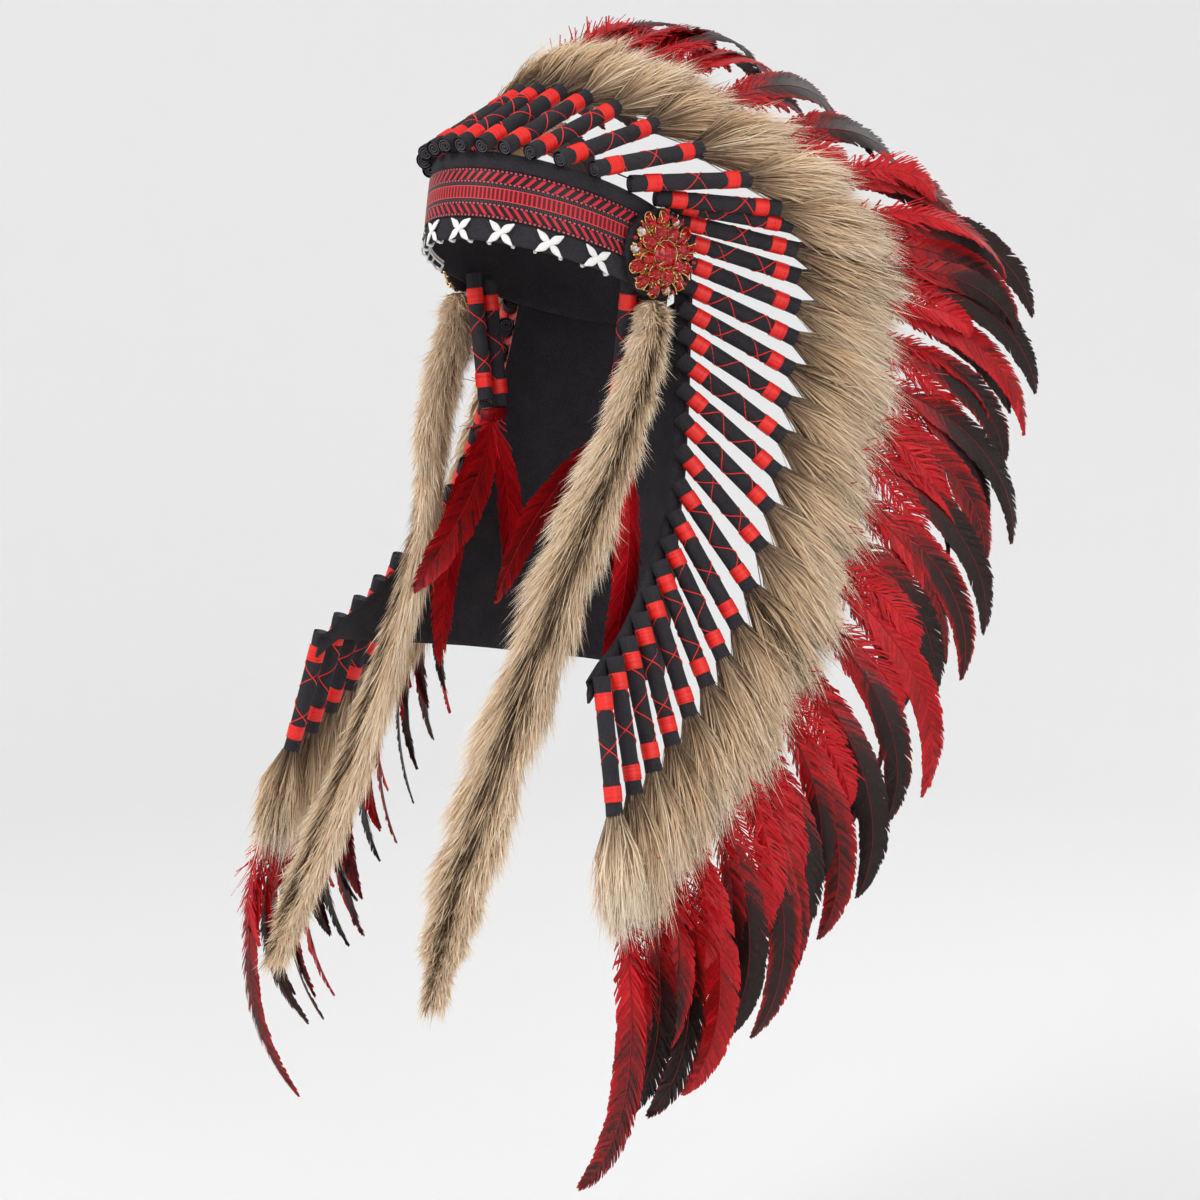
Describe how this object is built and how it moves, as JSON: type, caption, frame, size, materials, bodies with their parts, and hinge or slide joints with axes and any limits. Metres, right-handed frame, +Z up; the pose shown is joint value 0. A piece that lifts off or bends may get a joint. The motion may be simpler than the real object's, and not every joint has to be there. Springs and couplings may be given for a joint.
{
  "type": "feathered headdress",
  "caption": "War-bonnet style costume headdress: felt band with ribbon and brooches, and a hanging trail edged with wrapped quills, fur tufts and long curled feathers.",
  "frame": {"origin": "middle of the band's lower edge, where a head carries it", "axes": "+Z up, the wearer faces -Y, +X towards the wearer's left"},
  "size_m": [0.541, 0.5312, 0.8606],
  "materials": {
    "felt": "black needled felt, matt",
    "ribbon": "woven ribbon, red figure on near-black",
    "lace": "white cotton lacing",
    "brooch": "gilt casting set with red cut stones",
    "fur": "long-pile tan fur, darker at the roots",
    "plume": "tan fur tuft with a dyed red and bronze-black cock feather",
    "drop_feather": "dyed red feather"
  },
  "bodies": {
    "root": {"brooch_left": "brooch", "brooch_pad_left": "felt", "brooch_pad_right": "felt", "brooch_right": "brooch", "drop_feathers_left": "drop_feather", "drop_feathers_right": "drop_feather", "drop_quill_left_1": "felt", "drop_quill_left_2": "felt", "drop_quill_right_1": "felt", "drop_quill_right_2": "felt", "edge_lace": "lace", "fur_strip_left": "fur", "fur_strip_right": "fur", "head_band": "felt", "plume_front": "plume", "plumes_left_1": "plume", "plumes_left_2": "plume", "plumes_left_3": "plume", "plumes_left_4": "plume", "plumes_left_5": "plume", "plumes_left_6": "plume", "plumes_left_7": "plume", "plumes_left_8": "plume", "plumes_left_9": "plume", "plumes_right_1": "plume", "plumes_right_2": "plume", "plumes_right_3": "plume", "plumes_right_4": "plume", "plumes_right_5": "plume", "plumes_right_6": "plume", "plumes_right_7": "plume", "plumes_right_8": "plume", "plumes_right_9": "plume", "quill_front": "felt", "quills_left_1": "felt", "quills_left_2": "felt", "quills_left_3": "felt", "quills_left_4": "felt", "quills_left_5": "felt", "quills_left_6": "felt", "quills_left_7": "felt", "quills_left_8": "felt", "quills_left_9": "felt", "quills_right_1": "felt", "quills_right_2": "felt", "quills_right_3": "felt", "quills_right_4": "felt", "quills_right_5": "felt", "quills_right_6": "felt", "quills_right_7": "felt", "quills_right_8": "felt", "quills_right_9": "felt", "ribbon_trim": "ribbon", "trail": "felt"}
  },
  "joints": []
}
